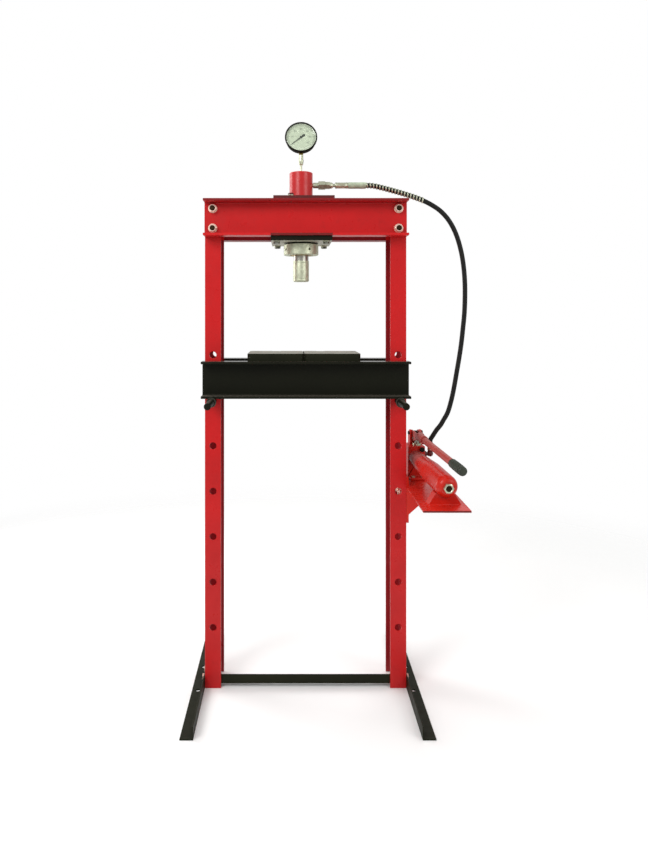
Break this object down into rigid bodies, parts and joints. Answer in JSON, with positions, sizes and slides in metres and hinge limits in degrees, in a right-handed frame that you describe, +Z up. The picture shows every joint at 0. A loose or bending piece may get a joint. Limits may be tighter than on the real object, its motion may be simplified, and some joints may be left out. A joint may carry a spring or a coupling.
{
  "type": "hydraulic press",
  "caption": "H-frame workshop press with a bolted channel head, hydraulic cylinder, pressure gauge, pinned adjustable bed and a side-mounted hand pump feeding it through one hose",
  "frame": {"origin": "on the floor, at the centre of the four floor anchor holes, midway between the two uprights", "axes": "+Z is up and runs along the uprights; X is the width, with the hand pump on the +X side; -Y is the front, where the gauge faces and the bed pins and the pump lever stick out"},
  "size_m": [0.9275, 0.7842, 1.8894],
  "materials": {
    "red_paint": "semi-gloss red paint",
    "faded_red_paint": "dull, worn red paint",
    "dark_red_paint": "dark red paint",
    "black_paint": "satin black paint",
    "olive_paint": "dark green-black paint",
    "zinc_plate": "yellowish zinc plating",
    "bright_steel": "ground steel",
    "brass": "machined",
    "rubber": "matt",
    "pale_sleeve": "pale plastic sleeve",
    "gauge_glass": "clear",
    "dial_card": "printed dial",
    "pointer_black": "matt black paint"
  },
  "bodies": {
    "frame": {"upright_left": "red_paint", "upright_right": "red_paint", "head_channel_front": "red_paint", "head_channel_rear": "red_paint", "head_bolt_sets": "zinc_plate", "foot_left": "olive_paint", "foot_right": "olive_paint", "m12_bolt_sets": "zinc_plate", "cross_bar": "black_paint", "top_plate": "dark_red_paint", "bottom_plate": "black_paint", "plate_bolt_sets": "zinc_plate", "cylinder_barrel": "red_paint", "ring_nut": "zinc_plate", "lock_ring": "bright_steel", "gland_bush": "brass", "return_spring": "bright_steel", "gauge_stem": "bright_steel", "gauge_adapter": "zinc_plate", "gauge_socket": "brass", "gauge_case": "black_paint", "gauge_bezel": "black_paint", "gauge_lens": "gauge_glass", "gauge_dial": "dial_card", "bourdon_tube": "brass", "port_fitting": "zinc_plate", "swivel_nut": "zinc_plate", "hose_ferrules": "zinc_plate", "hose_sleeve": "pale_sleeve", "spring_guard": "zinc_plate", "hose": "rubber", "outlet_elbow": "olive_paint", "pump_bracket": "red_paint", "pump_head": "red_paint", "pump_neck": "faded_red_paint", "reservoir": "red_paint", "reservoir_saddle": "red_paint", "plunger_gland": "zinc_plate", "pivot_pin": "black_paint", "pump_bolt_sets": "zinc_plate"},
    "bed": {"bed_channel_front": "black_paint", "bed_channel_rear": "black_paint", "bed_spacers": "black_paint", "press_plate_left": "olive_paint", "press_plate_right": "olive_paint"},
    "pin_left": {"bed_pin_left": "black_paint"},
    "pin_right": {"bed_pin_right": "black_paint"},
    "ram": {"piston": "bright_steel", "piston_seal": "rubber", "ram_rod": "bright_steel", "ram_nose": "zinc_plate"},
    "pointer": {"gauge_pointer": "pointer_black"},
    "lever": {"lever_fork": "faded_red_paint", "lever_bar": "faded_red_paint", "lever_grip": "rubber", "plunger_pin": "bright_steel"},
    "plunger": {"plunger": "bright_steel"},
    "valve": {"release_valve": "black_paint"},
    "vent": {"vent_screw": "zinc_plate"}
  },
  "joints": [
    {"name": "ram_slide", "type": "slide", "parent": "frame", "child": "ram", "axis": [0, 0, -1], "range_m": [0, 0.15], "stiffness_N_per_m": 900, "springref_m": -0.12, "deforming": ["return_spring"]},
    {"name": "bed_lift", "type": "slide", "parent": "frame", "child": "bed", "axis": [0, 0, 1], "range_m": [0, 0.075]},
    {"name": "pin_left_slide", "type": "slide", "parent": "frame", "child": "pin_left", "axis": [0, -1, 0], "range_m": [0, 0.18]},
    {"name": "pin_right_slide", "type": "slide", "parent": "frame", "child": "pin_right", "axis": [0, -1, 0], "range_m": [0, 0.18]},
    {"name": "lever_hinge", "type": "hinge", "parent": "frame", "child": "lever", "pos_m": [0.38722, 0.09222, 0.81908], "axis": [-0.9963, -0.0854, 0], "range_deg": [0, 60]},
    {"name": "plunger_slide", "type": "slide", "parent": "frame", "child": "plunger", "axis": [0.0042, -0.0487, 0.9988], "range_m": [0, 0.0281]},
    {"name": "valve_turn", "type": "hinge", "parent": "frame", "child": "valve", "pos_m": [0.40191, 0.04967, 0.76989], "axis": [0.0853, -0.9952, -0.0488], "range_deg": [0, 360]},
    {"name": "vent_turn", "type": "hinge", "parent": "frame", "child": "vent", "pos_m": [0.4123, -0.32905, 0.72436], "axis": [0.0853, -0.9952, -0.0488], "range_deg": [0, 360]},
    {"name": "pointer_turn", "type": "hinge", "parent": "frame", "child": "pointer", "pos_m": [-0.014, 0.01361, 1.83195], "axis": [0, 0.9744, -0.225], "range_deg": [0, 270], "stiffness_Nm_per_rad": 0.002, "springref_deg": -11.46}
  ],
  "couplings": [
    {"joint": "plunger_slide", "follows": "lever_hinge", "m_per_rad": 0.026738}
  ]
}
